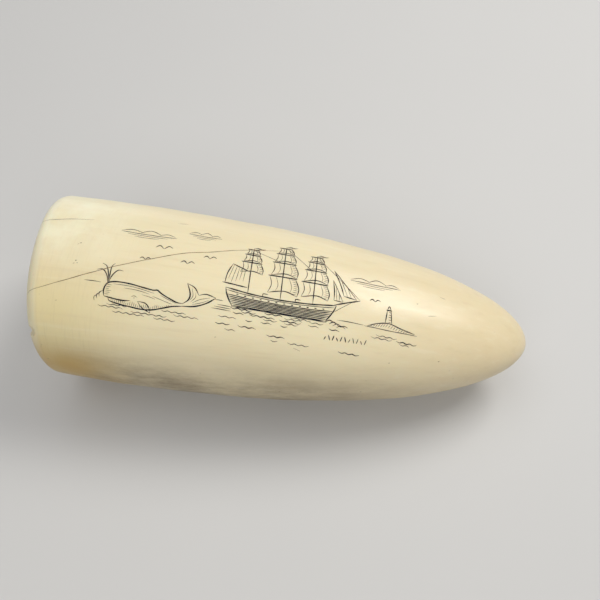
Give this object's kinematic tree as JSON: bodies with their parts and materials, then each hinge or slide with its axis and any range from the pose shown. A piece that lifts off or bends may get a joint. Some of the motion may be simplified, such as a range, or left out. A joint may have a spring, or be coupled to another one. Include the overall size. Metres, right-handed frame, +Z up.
{
  "type": "scrimshaw whale tooth",
  "caption": "Polished whale tooth that lies on its broad side, blunt-tipped, with a sawn butt, a pulp hollow and a ship and a whale engraved on its upper side.",
  "frame": {"origin": "middle of the lying tooth's bounding box, on the surface that it rests on", "axes": "+X runs along the tooth from the sawn butt to the tip, +Y across its breadth, +Z up through its thickness"},
  "size_m": [0.127, 0.0486, 0.0409],
  "materials": {
    "ivory": "polished old ivory: cream, slightly translucent, satin gloss, with dark ink in its engraved lines"
  },
  "bodies": {
    "root": {"whale_tooth": "ivory"}
  },
  "joints": []
}
